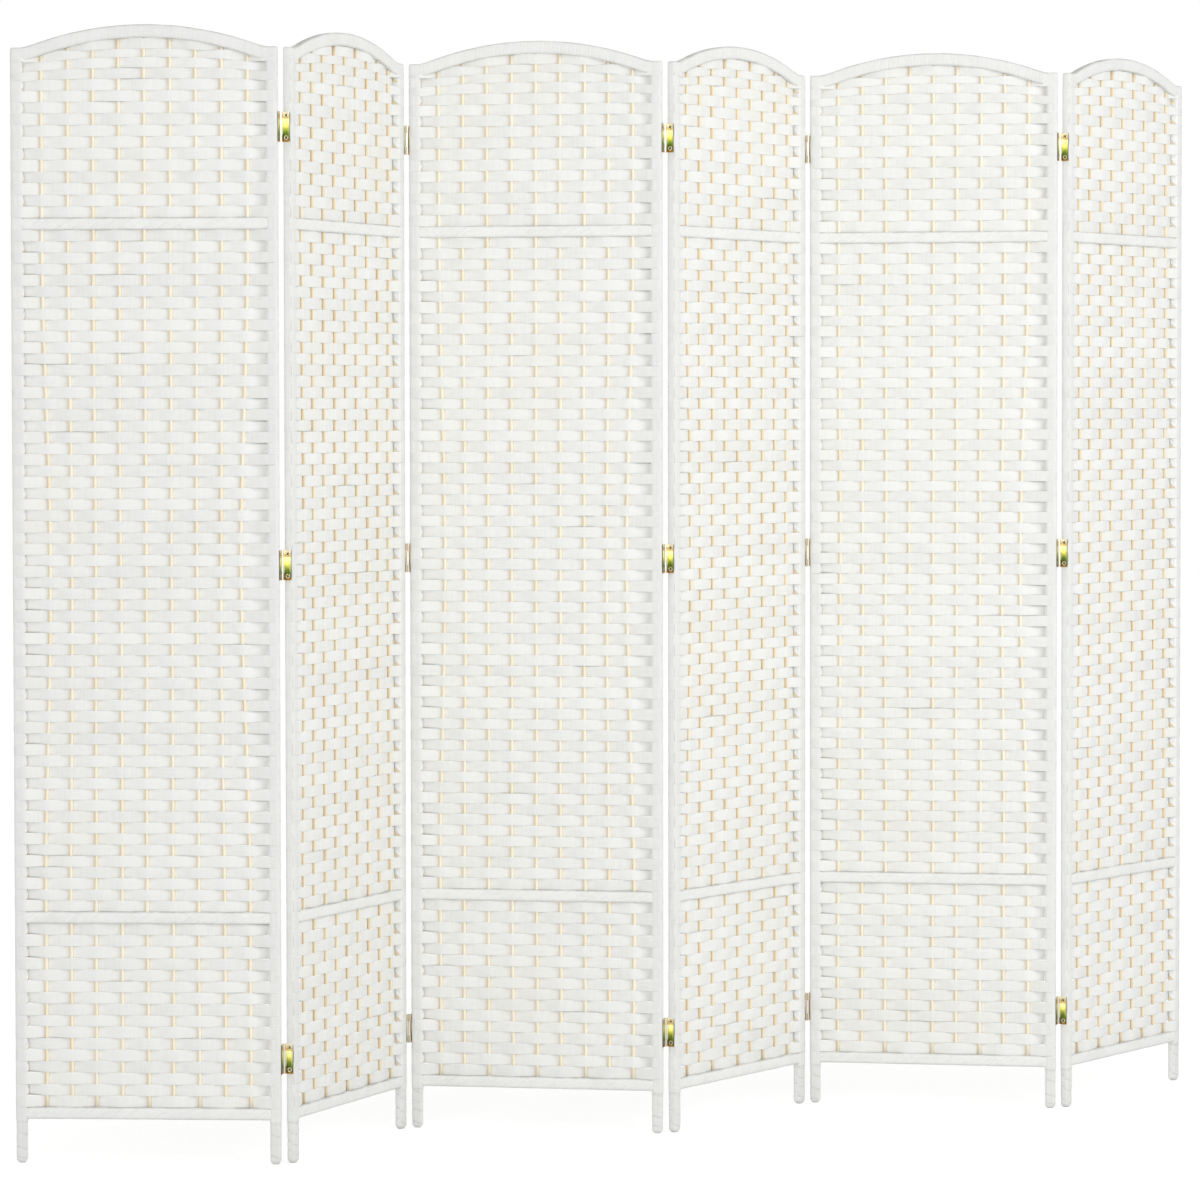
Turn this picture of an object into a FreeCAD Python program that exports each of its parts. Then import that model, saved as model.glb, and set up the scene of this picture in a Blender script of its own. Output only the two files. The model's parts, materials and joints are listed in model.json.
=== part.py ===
import FreeCAD, Part
import math
import os
import Sketcher

# Free-standing folding screen of six hinged panels, standing in a zigzag.
# Row frame: millimetres, +Z up, floor at Z = 0, X along the zigzag, -Y towards the front.
# Each panel is modelled in its own frame: X from its left edge to its right edge,
# Y from its front face to its back face, Z up from the floor.

# driving dimensions, mm and degrees
driving = {
    "panelWidth": 400,         # over both posts
    "postHeight": 1664,        # floor to the top of a post
    "postWidth": 18,           # across the panel
    "postDepth": 15,           # front to back
    "postEdge": 2,             # bevel on the corners of a post
    "railDepth": 12,           # front to back, every rail
    "railHeight": 18,          # cross rails and bottom rail
    "railEdge": 1.5,           # bevel along a rail
    "topRailHeight": 20,       # arched top rail, measured across its curve
    "archRise": 35,            # crown of the arch above its ends
    "archDrop": 1,             # ends of the arch below the tops of the posts
    "legHeight": 66,           # floor to the underside of the bottom rail
    "lowerRailHeight": 359.5,  # floor to the underside of the lower cross rail
    "upperRailDrop": 270.2,    # top of a post to the underside of the upper cross rail
    "stickSize": 5,            # across the flats of a stick
    "stickMargin": 28.4,       # inner face of a post to the first stick
    "stickRoom": 0.3,          # between a stick and what it passes
    "bandCrown": 1.2,          # thickness of a woven band at its middle
    "seatGap": 0.3,            # between a cut end and the curved rail above it
    "hingeLength": 45,         # a closed butt hinge, along its pin
    "leafInset": 2.5,          # far edge of a leaf to the face of the post beyond it
    "leafThickness": 1,
    "barrelSize": 5,           # across the flats of a knuckle
    "centreKnuckle": 22,       # length of the middle knuckle
    "knuckleGap": 0.3,         # running gap between two knuckles
    "pinDiameter": 2.6,
    "pinRoom": 0.05,           # radial, pin in its knuckles
    "leafGap": 2.4,            # between the two leaves of a closed hinge
    "pinFromFace": 2,          # pin side face of a post to the pin's axis
    "lowHinge": 157,           # floor to the middle of the lowest hinge
    "middleHinge": 895,        # floor to the middle of the middle one
    "highHingeDrop": 118,      # top of a post to the middle of the highest one
    "firstTurn": -29.4,        # first panel against X, at rest
    "firstFold": 70.7,         # each fold's turn away from flat, at rest
    "secondFold": 77.5,
    "thirdFold": 67.3,
    "fourthFold": 67.4,
    "fifthFold": 66.9,
}

# counts
panelCount = 6
stickCount = 9
bottomRows = 16   # woven rows under the lower cross rail
middleRows = 61   # between the cross rails
topRows = 16      # above the upper cross rail
barrelSides = 8   # a rolled knuckle, drawn with eight flats
boreSides = 6     # its bore touches the round pin on six flats
stickSides = 6    # a split stick, drawn with six flats

os.makedirs("parts", exist_ok=True)
doc = FreeCAD.newDocument("FoldingScreen")
sheet = doc.addObject("Spreadsheet::Sheet", "Sizes")
for row, (alias, number) in enumerate(driving.items(), start=1):
    sheet.set("A%d" % row, str(number))
    sheet.setAlias("A%d" % row, alias)
doc.recompute()


def size(alias):
    return float(getattr(sheet, alias))


def value(expression):
    # what an expression on the sheet comes to
    return float(sheet.evalExpression(expression))


# derived sizes, written once as expressions on the sheet
zero = "0"
innerWidth = "(Sizes.panelWidth - 2 * Sizes.postWidth)"
stickCorner = "(Sizes.stickSize / 2 / cos(180 / %d))" % stickSides
stickPlane = "(Sizes.stickSize / 2 + Sizes.stickRoom)"
archRadius = "((%s ^ 2 / 4 + Sizes.archRise ^ 2) / (2 * Sizes.archRise))" % innerWidth
archStart = "(Sizes.postHeight - Sizes.archDrop)"
archTop = "(%s + Sizes.archRise)" % archStart
bottomRailTop = "(Sizes.legHeight + Sizes.railHeight)"
lowerRailTop = "(Sizes.lowerRailHeight + Sizes.railHeight)"
upperRailFoot = "(Sizes.postHeight - Sizes.upperRailDrop)"
upperRailTop = "(%s + Sizes.railHeight)" % upperRailFoot
roofRadius = "(%s - Sizes.topRailHeight - Sizes.seatGap)" % archRadius
roofCentre = "(%s - %s)" % (archTop, archRadius)
roofHeight = "(%s + %s)" % (roofCentre, roofRadius)
endKnuckle = "((Sizes.hingeLength - Sizes.centreKnuckle) / 2 - Sizes.knuckleGap)"
barrelCorner = "(Sizes.barrelSize / 2 / cos(180 / %d))" % barrelSides
boreCorner = "((Sizes.pinDiameter / 2 + Sizes.pinRoom) / cos(180 / %d))" % boreSides
pinFromEdge = "(Sizes.leafThickness + Sizes.leafGap / 2)"
highHinge = "(Sizes.postHeight - Sizes.highHingeDrop)"
hingeHeights = {"low": "Sizes.lowHinge", "middle": "Sizes.middleHinge", "high": highHinge}
folds = ("firstFold", "secondFold", "thirdFold", "fourthFold", "fifthFold")


def originFeature(body, role):
    return next(f for f in body.Origin.OriginFeatures if f.Role == role)


def newBody(label):
    # several separate solids of one kind may share a body
    body = doc.addObject("PartDesign::Body", label)
    body.Label = label
    body.AllowCompound = True
    return body


def newSketch(body, name, role):
    sketch = body.newObject("Sketcher::SketchObject", name)
    sketch.AttachmentSupport = [(originFeature(body, role), "")]
    sketch.MapMode = "FlatFace"
    return sketch


def dimension(sketch, name, kind, *parts, to):
    # a driving constraint bound to the sheet
    index = sketch.addConstraint(Sketcher.Constraint(kind, *parts, value(to)))
    sketch.renameConstraint(index, name)
    sketch.setExpression("Constraints." + name, to)


def outlineSketch(body, name, role, corners):
    # a closed outline whose corners are pairs of expressions on the sheet
    sketch = newSketch(body, name, role)
    points = [FreeCAD.Vector(value(across), value(up), 0) for across, up in corners]
    count = len(corners)
    for i in range(count):
        sketch.addGeometry(Part.LineSegment(points[i], points[(i + 1) % count]), False)
    for i in range(count):
        sketch.addConstraint(Sketcher.Constraint("Coincident", i, 2, (i + 1) % count, 1))
    for i, (across, up) in enumerate(corners):
        dimension(sketch, "across%d" % i, "DistanceX", -1, 1, i, 1, to=across)
        dimension(sketch, "up%d" % i, "DistanceY", -1, 1, i, 1, to=up)
    return sketch


def rectangle(left, low, right, high):
    return [(left, low), (right, low), (right, high), (left, high)]


def pad(body, sketch, name, length, reverse=False):
    feature = body.newObject("PartDesign::Pad", name)
    feature.Profile = sketch
    feature.Reversed = reverse
    feature.setExpression("Length", length)
    return feature


def pocketThrough(body, sketch, name, reverse=False, bothWays=False):
    before = body.Tip
    feature = body.newObject("PartDesign::Pocket", name)
    feature.Profile = sketch
    feature.Type = "ThroughAll"
    feature.Reversed = reverse
    if bothWays:
        feature.SideType = "Symmetric"
    doc.recompute()
    if not feature.Shape.Volume < before.Shape.Volume:
        raise RuntimeError(name + " cuts nothing")
    return feature


def pattern(body, originals, name, role, length, count):
    # repeats the features named, or the whole shape so far where none is
    feature = body.newObject("PartDesign::LinearPattern", name)
    if originals:
        feature.Originals = originals
    else:
        feature.TransformMode = "Whole shape"
    feature.Direction = (originFeature(body, role), [""])
    feature.setExpression("Length", length)
    feature.Occurrences = count
    body.Tip = feature
    return feature


def primitive(body, kind, name, offset, **sizes):
    # a block, prism or cylinder placed from the body's origin by expressions
    feature = body.newObject("PartDesign::" + kind, name)
    feature.AttachmentSupport = [(originFeature(body, "XY_Plane"), "")]
    feature.MapMode = "FlatFace"
    for axis, expression in zip("xyz", offset):
        feature.setExpression("AttachmentOffset.Base." + axis, expression)
    for prop, expression in sizes.items():
        feature.setExpression(prop, expression)
    return feature


def bevel(body, base, name, amount, wanted):
    # bevels the edges that wanted(edge) picks on the base feature
    doc.recompute()
    names = ["Edge%d" % i for i, edge in enumerate(base.Shape.Edges, start=1) if wanted(edge)]
    feature = body.newObject("PartDesign::Chamfer", name)
    feature.Base = (base, names)
    feature.setExpression("Size", amount)
    return feature


def runsAlong(edge, axis):
    along = (edge.Vertexes[-1].Point - edge.Vertexes[0].Point).normalize()
    return abs(along.dot(axis)) > math.cos(math.radians(1))


def makePost(label):
    # square post with every edge eased; its lower end is the panel's foot
    body = newBody(label)
    corners = rectangle(zero, zero, "Sizes.postWidth", "Sizes.postDepth")
    sketch = outlineSketch(body, label + "_section", "XY_Plane", corners)
    post = pad(body, sketch, label + "_bar", "Sizes.postHeight")
    bevel(body, post, label + "_bevel", "Sizes.postEdge", lambda edge: True)
    return body


def makeBottomRail(label):
    # joins the two feet above the floor
    body = newBody(label)
    corners = rectangle(zero, zero, "Sizes.railDepth", "Sizes.railHeight")
    sketch = outlineSketch(body, label + "_section", "YZ_Plane", corners)
    rail = pad(body, sketch, label + "_bar", innerWidth)
    across = FreeCAD.Vector(1, 0, 0)
    bevel(body, rail, label + "_bevel", "Sizes.railEdge", lambda edge: runsAlong(edge, across))
    return body


def makeCrossRails(label):
    # the lower and upper cross rails, each slotted from top to bottom for the sticks
    body = newBody(label)
    corners = rectangle(zero, zero, "Sizes.railDepth", "Sizes.railHeight")
    sketch = outlineSketch(body, label + "_section", "YZ_Plane", corners)
    rail = pad(body, sketch, label + "_bar", innerWidth)
    across = FreeCAD.Vector(1, 0, 0)
    bevel(body, rail, label + "_bevel", "Sizes.railEdge", lambda edge: runsAlong(edge, across))
    front = "(Sizes.railDepth / 2 - %s)" % stickPlane
    back = "(Sizes.railDepth / 2 + %s)" % stickPlane
    left = "(Sizes.stickMargin / 2)"
    right = "(%s - Sizes.stickMargin / 2)" % innerWidth
    slotSketch = outlineSketch(body, label + "_slotOutline", "XY_Plane",
                               rectangle(left, front, right, back))
    pocketThrough(body, slotSketch, label + "_slot", reverse=True)
    pattern(body, [], label + "_pair", "Z_Axis", upperRailFoot + " - Sizes.lowerRailHeight", 2)
    return body


def addArc(sketch, centre, radius):
    # an arc across the inner width, from its right end to its left end
    lean = math.asin(value(innerWidth) / 2 / radius)
    circle = Part.Circle(centre, FreeCAD.Vector(0, 0, 1), radius)
    arc = Part.ArcOfCircle(circle, math.pi / 2 - lean, math.pi / 2 + lean)
    sketch.addGeometry(arc, False)
    return arc


def archSketch(body, name, role):
    # the arched rail: a band between two arcs of one centre, upright at both ends
    sketch = newSketch(body, name, role)
    innerRadius = archRadius + " - Sizes.topRailHeight"
    centre = FreeCAD.Vector(value(innerWidth) / 2, value(archTop) - value(archRadius), 0)
    above = addArc(sketch, centre, value(archRadius))
    below = addArc(sketch, centre, value(innerRadius))
    sketch.addGeometry(Part.LineSegment(below.EndPoint, above.EndPoint), False)
    sketch.addGeometry(Part.LineSegment(below.StartPoint, above.StartPoint), False)
    outer, inner, left, right = range(4)
    for arc, end in ((inner, 1), (outer, 2)):
        sketch.addConstraint(Sketcher.Constraint("Coincident", left, end, arc, 2))
        sketch.addConstraint(Sketcher.Constraint("Coincident", right, end, arc, 1))
    sketch.addConstraint(Sketcher.Constraint("Coincident", outer, 3, inner, 3))
    sketch.addConstraint(Sketcher.Constraint("Vertical", left))
    sketch.addConstraint(Sketcher.Constraint("Vertical", right))
    sketch.addConstraint(Sketcher.Constraint("Horizontal", outer, 1, outer, 2))
    dimension(sketch, "leftEnd", "DistanceX", -1, 1, outer, 2, to=zero)
    dimension(sketch, "rightEnd", "DistanceX", -1, 1, outer, 1, to=innerWidth)
    dimension(sketch, "startUp", "DistanceY", -1, 1, outer, 2, to=archStart)
    dimension(sketch, "outerRadius", "Radius", outer, to=archRadius)
    dimension(sketch, "innerRadius", "Radius", inner, to=innerRadius)
    return sketch


def makeTopRail(label):
    # arched rail of even height between the heads of the posts
    body = newBody(label)
    sketch = archSketch(body, label + "_outline", "XZ_Plane")
    pad(body, sketch, label + "_bar", "Sizes.railDepth", reverse=True)
    return body


def makeSticks(label):
    # upright sticks on the bottom rail, each sawn off square just under the arch
    body = newBody(label)
    pitch = "((%s - 2 * Sizes.stickMargin) / %d)" % (innerWidth, stickCount - 1)
    for number in range(stickCount):
        across = "(Sizes.stickMargin + %d * %s)" % (number, pitch)
        outward = "(abs(%s - %s / 2) + %s)" % (across, innerWidth, stickCorner)
        top = "(%s + sqrt(%s ^ 2 - %s ^ 2))" % (roofCentre, roofRadius, outward)
        stick = primitive(body, "AdditivePrism", "%s_stick%d" % (label, number + 1),
                          (across, zero, bottomRailTop), Circumradius=stickCorner,
                          Height="%s - %s" % (top, bottomRailTop))
        stick.Polygon = stickSides
    return body


def roofOutline(body, name):
    # all that lies above the clearance arc under the arched rail
    sketch = newSketch(body, name, "XZ_Plane")
    span, ceiling = value(innerWidth), value(archTop)
    roof = addArc(sketch, FreeCAD.Vector(span / 2, value(roofCentre), 0), value(roofRadius))
    topLeft = FreeCAD.Vector(0, ceiling, 0)
    topRight = FreeCAD.Vector(span, ceiling, 0)
    for start, end in ((roof.EndPoint, topLeft), (topLeft, topRight), (topRight, roof.StartPoint)):
        sketch.addGeometry(Part.LineSegment(start, end), False)
    arc, leftSide, top, rightSide = range(4)
    for first, second in ((arc, leftSide), (leftSide, top), (top, rightSide), (rightSide, arc)):
        sketch.addConstraint(Sketcher.Constraint("Coincident", first, 2, second, 1))
    sketch.addConstraint(Sketcher.Constraint("Vertical", leftSide))
    sketch.addConstraint(Sketcher.Constraint("Horizontal", top))
    sketch.addConstraint(Sketcher.Constraint("Vertical", rightSide))
    dimension(sketch, "leftEnd", "DistanceX", -1, 1, top, 1, to=zero)
    dimension(sketch, "rightEnd", "DistanceX", -1, 1, top, 2, to=innerWidth)
    dimension(sketch, "topUp", "DistanceY", -1, 1, top, 1, to=archTop)
    dimension(sketch, "centreAcross", "DistanceX", -1, 1, arc, 3, to=innerWidth + " / 2")
    dimension(sketch, "centreUp", "DistanceY", -1, 1, arc, 3, to=roofCentre)
    dimension(sketch, "radius", "Radius", arc, to=roofRadius)
    return sketch


def makeBands(label):
    # crowned strips across the panel, every second one in front of the sticks
    body = newBody(label)
    sections = (("bottom", bottomRailTop, "Sizes.lowerRailHeight", bottomRows),
                ("middle", lowerRailTop, upperRailFoot, middleRows),
                ("top", upperRailTop, roofHeight, topRows))
    for section, low, high, rows in sections:
        pitch = "((%s - %s) / %d)" % (high, low, rows)
        for side, sign, first in (("front", -1, 0), ("back", 1, 1)):
            name = "%s_%s_%s" % (label, section, side)
            start = "(%s + %d * %s)" % (low, first, pitch)
            inner = "(%d * %s)" % (sign, stickPlane)
            crown = "(%d * (%s + Sizes.bandCrown))" % (sign, stickPlane)
            corners = [(inner, start),
                       (crown, "%s + %s / 2" % (start, pitch)),
                       (inner, "%s + %s" % (start, pitch))]
            sketch = outlineSketch(body, name + "_section", "YZ_Plane", corners)
            band = pad(body, sketch, name + "_band", innerWidth)
            copies = (rows + 1 - first) // 2
            pattern(body, [band], name + "_rows", "Z_Axis",
                    "%d * %s" % (2 * (copies - 1), pitch), copies)
    # the arched rail's underside trims the highest strips
    roof = roofOutline(body, label + "_roofOutline")
    pocketThrough(body, roof, label + "_roof", bothWays=True)
    return body


def makeLeaves(label, onRightEdge, pinAtBack, knuckles):
    # the three leaves on one edge of a panel, drawn about the axis of their pins
    body = newBody(label)
    start = "(%s + Sizes.knuckleGap)" % barrelCorner
    reach = "(Sizes.pinFromFace + Sizes.postDepth - Sizes.leafInset)"
    face = "-" + pinFromEdge if onRightEdge else pinFromEdge + " - Sizes.leafThickness"
    for place, height in hingeHeights.items():
        low = "(%s - Sizes.hingeLength / 2)" % height
        name = label + "_" + place
        primitive(body, "AdditiveBox", name + "_plate",
                  (face, "-" + reach if pinAtBack else start, low),
                  Length="Sizes.leafThickness", Width="%s - %s" % (reach, start),
                  Height="Sizes.hingeLength")
        for number, (offset, length) in enumerate(knuckles, start=1):
            foot = "%s + %s" % (low, offset)
            primitive(body, "AdditiveBox", "%s_wrap%d" % (name, number),
                      (face, "-" + start if pinAtBack else zero, foot),
                      Length="Sizes.leafThickness", Width=start, Height=length)
            barrel = primitive(body, "AdditivePrism", "%s_knuckle%d" % (name, number),
                               (zero, zero, foot), Circumradius=barrelCorner, Height=length)
            barrel.Polygon = barrelSides
    doc.recompute()
    before = body.Tip.Shape.Volume
    bore = primitive(body, "SubtractivePrism", label + "_bore",
                     (zero, zero, "Sizes.lowHinge - Sizes.hingeLength / 2"),
                     Circumradius=boreCorner,
                     Height=highHinge + " - Sizes.lowHinge + Sizes.hingeLength")
    bore.Polygon = boreSides
    doc.recompute()
    if not bore.Shape.Volume < before:
        raise RuntimeError(label + ": the bore cuts nothing")
    return body


def makePins(label):
    # one pin through the knuckles of each hinge of a joint
    body = newBody(label)
    for place, height in hingeHeights.items():
        primitive(body, "AdditiveCylinder", "%s_%s" % (label, place),
                  (zero, zero, height + " - Sizes.hingeLength / 2"),
                  Radius="Sizes.pinDiameter / 2", Height="Sizes.hingeLength")
    return body


def turned(angle):
    return FreeCAD.Rotation(FreeCAD.Vector(0, 0, 1), angle)


def moved(across, back, up=0):
    return FreeCAD.Placement(FreeCAD.Vector(across, back, up), FreeCAD.Rotation())


# pin axes seen from a panel's own frame: behind it at one edge, in front at the other
pinAside = size("leafThickness") + size("leafGap") / 2
backPin = size("postDepth") + size("pinFromFace")
frontPin = -size("pinFromFace")

# each panel hangs on the pins of the one before it; the folds alternate
angle = size("firstTurn")
places = [FreeCAD.Placement(FreeCAD.Vector(), turned(angle))]
pinPlaces = []
for number, fold in enumerate(folds, start=1):
    pinAtBack = number % 2 == 1
    beside = backPin if pinAtBack else frontPin
    axis = places[-1].multVec(FreeCAD.Vector(size("panelWidth") + pinAside, beside, 0))
    angle += size(fold) if pinAtBack else -size(fold)
    offset = turned(angle).multVec(FreeCAD.Vector(-pinAside, beside, 0))
    places.append(FreeCAD.Placement(axis - offset, turned(angle)))
    pinPlaces.append(axis)

centreKnuckle = [("(Sizes.hingeLength - Sizes.centreKnuckle) / 2", "Sizes.centreKnuckle")]
endKnuckles = [(zero, endKnuckle), ("Sizes.hingeLength - " + endKnuckle, endKnuckle)]
middle = size("postDepth") / 2
railFace = middle - size("railDepth") / 2
postInner = size("postWidth")

pieces = []


def put(body, place, where):
    body.Placement = place.multiply(where)
    pieces.append(body)


for panel in range(1, panelCount + 1):
    place = places[panel - 1]
    put(makePost("left_post_%d" % panel), place, moved(0, 0))
    put(makePost("right_post_%d" % panel), place, moved(size("panelWidth") - postInner, 0))
    put(makeTopRail("top_rail_%d" % panel), place, moved(postInner, railFace))
    put(makeCrossRails("cross_rails_%d" % panel), place,
        moved(postInner, railFace, size("lowerRailHeight")))
    put(makeBottomRail("bottom_rail_%d" % panel), place,
        moved(postInner, railFace, size("legHeight")))
    put(makeSticks("sticks_%d" % panel), place, moved(postInner, middle))
    put(makeBands("woven_bands_%d" % panel), place, moved(postInner, middle))
    knuckles = centreKnuckle if panel % 2 else endKnuckles
    for onRightEdge, joint in ((False, panel - 1), (True, panel)):
        if not 1 <= joint < panelCount:
            continue
        pinAtBack = joint % 2 == 1
        side = "right" if onRightEdge else "left"
        across = size("panelWidth") + pinAside if onRightEdge else -pinAside
        leaves = makeLeaves("hinge_leaves_%d_%s" % (panel, side), onRightEdge, pinAtBack, knuckles)
        put(leaves, place, moved(across, backPin if pinAtBack else frontPin))

for joint, axis in enumerate(pinPlaces, start=1):
    # the pins stay with the panel that holds the end knuckles
    holder = joint if joint % 2 == 0 else joint + 1
    put(makePins("hinge_pins_%d%d" % (joint, joint + 1)),
        FreeCAD.Placement(axis, places[holder - 1].Rotation), moved(0, 0))

doc.recompute()
for item in doc.Objects:
    if "Invalid" in item.State or "Error" in item.State:
        raise RuntimeError("%s is %s" % (item.Name, item.State))

# the frame's origin lies on the floor under the middle of the screen
whole = FreeCAD.BoundBox()
for body in pieces:
    whole.add(body.Shape.BoundBox)
shift = FreeCAD.Vector(-whole.Center.x, -whole.Center.y, -whole.ZMin)
for body in pieces:
    body.Placement = FreeCAD.Placement(shift, FreeCAD.Rotation()).multiply(body.Placement)
doc.recompute()

for body in pieces:
    shape = body.Shape
    if shape.isNull() or not shape.isValid() or not shape.Solids:
        raise RuntimeError(body.Label + " has no valid solid")
    shape.exportStep("parts/%s.step" % body.Label)

print("pieces", len(pieces), "solids", sum(len(body.Shape.Solids) for body in pieces))
print("size", round(whole.XLength, 1), round(whole.YLength, 1), round(whole.ZLength, 1))
for joint, axis in enumerate(pinPlaces, start=1):
    pin = axis + shift
    print("pin axis %d-%d at" % (joint, joint + 1), round(pin.x, 3), round(pin.y, 3))
for panel, place in enumerate(places, start=1):
    corner = place.Base + shift
    print("panel", panel, "corner", round(corner.x, 3), round(corner.y, 3),
          "turn", round(math.degrees(place.Rotation.Angle) * place.Rotation.Axis.z, 3))
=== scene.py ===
import json
import math
from functools import partialmethod
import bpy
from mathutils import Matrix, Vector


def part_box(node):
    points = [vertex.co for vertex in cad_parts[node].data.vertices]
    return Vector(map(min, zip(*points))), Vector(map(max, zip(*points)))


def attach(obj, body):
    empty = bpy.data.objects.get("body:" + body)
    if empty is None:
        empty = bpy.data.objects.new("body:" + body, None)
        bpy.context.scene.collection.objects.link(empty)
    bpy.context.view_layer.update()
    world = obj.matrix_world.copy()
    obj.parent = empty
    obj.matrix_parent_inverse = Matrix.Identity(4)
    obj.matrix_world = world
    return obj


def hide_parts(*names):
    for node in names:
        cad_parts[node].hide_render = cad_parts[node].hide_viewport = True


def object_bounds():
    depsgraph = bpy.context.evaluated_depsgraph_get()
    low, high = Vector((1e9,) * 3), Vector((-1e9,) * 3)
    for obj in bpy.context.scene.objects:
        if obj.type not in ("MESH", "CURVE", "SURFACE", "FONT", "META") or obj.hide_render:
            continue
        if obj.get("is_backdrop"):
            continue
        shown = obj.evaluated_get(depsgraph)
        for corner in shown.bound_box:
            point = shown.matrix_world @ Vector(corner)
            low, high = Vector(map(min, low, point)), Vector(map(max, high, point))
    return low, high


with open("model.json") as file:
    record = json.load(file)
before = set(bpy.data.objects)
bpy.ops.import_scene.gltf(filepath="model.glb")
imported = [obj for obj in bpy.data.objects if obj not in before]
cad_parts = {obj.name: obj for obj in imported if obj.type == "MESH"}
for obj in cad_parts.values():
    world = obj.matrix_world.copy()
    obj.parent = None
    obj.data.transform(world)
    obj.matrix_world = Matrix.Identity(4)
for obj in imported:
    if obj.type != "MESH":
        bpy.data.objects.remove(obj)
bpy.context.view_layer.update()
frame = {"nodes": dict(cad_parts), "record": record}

from types import SimpleNamespace
import bmesh
import bpy
from mathutils import Matrix, Vector

scene = bpy.context.scene
panelCount = 6
panels = range(1, panelCount + 1)
edges = [(panel, side) for panel in panels for side in ("left", "right")]


class Field:
    # a node's output socket that takes arithmetic
    def __init__(self, maker, socket):
        self.maker = maker
        self.socket = socket

    def math(self, operation, *others):
        values = dict(enumerate((self,) + others))
        return self.maker.add("ShaderNodeMath", {"operation": operation}, values)

    def swapped(self, operation, other):
        return self.maker.add("ShaderNodeMath", {"operation": operation}, {0: other, 1: self})

    def output(self, name):
        return Field(self.maker, self.socket.node.outputs[name])

    def within(self, low, high):
        return self.math("MAXIMUM", low).math("MINIMUM", high)

    def signedPower(self, power):
        return self.math("SIGN") * abs(self) ** power

    __add__ = __radd__ = partialmethod(math, "ADD")
    __sub__ = partialmethod(math, "SUBTRACT")
    __rsub__ = partialmethod(swapped, "SUBTRACT")
    __mul__ = __rmul__ = partialmethod(math, "MULTIPLY")
    __truediv__ = partialmethod(math, "DIVIDE")
    __rtruediv__ = partialmethod(swapped, "DIVIDE")
    __pow__ = partialmethod(math, "POWER")
    __gt__ = partialmethod(math, "GREATER_THAN")
    __lt__ = partialmethod(math, "LESS_THAN")
    __neg__ = partialmethod(math, "MULTIPLY", -1.0)
    __abs__ = partialmethod(math, "ABSOLUTE")


class Maker:
    # adds nodes to one tree: settings first, then the values or links of the sockets
    def __init__(self, tree):
        self.tree = tree

    def add(self, kind, settings=None, values=None, out=0):
        node = self.tree.nodes.new(kind)
        for name, setting in (settings or {}).items():
            if name == "stops":
                self.setStops(node.color_ramp, setting)
            else:
                setattr(node, name, setting)
        for key, value in (values or {}).items():
            for part in value if isinstance(value, list) else [value]:
                if isinstance(part, Field):
                    self.tree.links.new(part.socket, node.inputs[key])
                else:
                    node.inputs[key].default_value = part
        return Field(self, node.outputs[out]) if node.outputs else None

    def setStops(self, ramp, stops):
        while len(ramp.elements) < len(stops):
            ramp.elements.new(0.5)
        for element, (position, levels) in zip(ramp.elements, stops):
            element.position = position
            element.color = colour(*levels)

    def smooth(self, value, low, high):
        return self.add("ShaderNodeMapRange", {"interpolation_type": "SMOOTHSTEP"},
                        {"Value": value, "From Min": low, "From Max": high})

    def vector(self, x, y, z):
        return self.add("ShaderNodeCombineXYZ", None, {0: x, 1: y, 2: z})

    def split(self, vector):
        parts = self.add("ShaderNodeSeparateXYZ", None, {0: vector})
        return parts, parts.output("Y"), parts.output("Z")

    def noise(self, vector, scale, detail=2.0):
        return self.add("ShaderNodeTexNoise", {"noise_dimensions": "3D"},
                        {"Vector": vector, "Scale": scale, "Detail": detail})

    def grain(self, place, factors, detail=2.0):
        # noise with its own number of waves per metre in each direction
        stretched = self.add("ShaderNodeVectorMath", {"operation": "MULTIPLY"},
                             {0: place, 1: factors})
        return self.noise(stretched, 1.0, detail)

    def blend(self, share, first, second):
        # a colour between two
        return self.add("ShaderNodeMix", {"data_type": "RGBA"},
                        {"Factor": share, "A": first, "B": second}, out="Result")

    def ramp(self, value, *stops):
        return self.add("ShaderNodeValToRGB", {"stops": stops}, {"Fac": value})

    def mark(self, name, out="Fac"):
        # what a geometry tree kept on the points
        return self.add("ShaderNodeAttribute", {"attribute_name": name}, None, out)


def colour(red, green, blue):
    # screen levels of 0 to 255 as a linear colour
    levels = []
    for level in (red, green, blue):
        share = level / 255
        levels.append(share / 12.92 if share <= 0.04045 else ((share + 0.055) / 1.055) ** 2.4)
    return (*levels, 1.0)


# the frame's own sizes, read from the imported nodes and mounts

mounts = {mount["name"]: mount for mount in frame["record"]["mounts"]}


def footPlace(panel, side):
    return Vector(mounts["foot_%d_%s" % (panel, side)]["pos_m"])


def boxHeights(node):
    return [corner[2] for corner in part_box(node)]


bottomRailLow, bottomRailTop = boxHeights("bottom_rail_1")
railHeight = bottomRailTop - bottomRailLow
lowerRailLow, upperRailTop = boxHeights("cross_rails_1")
lowerRailTop = lowerRailLow + railHeight
upperRailLow = upperRailTop - railHeight
postTop = boxHeights("left_post_1")[1]
crown = boxHeights("top_rail_1")[1]

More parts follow.
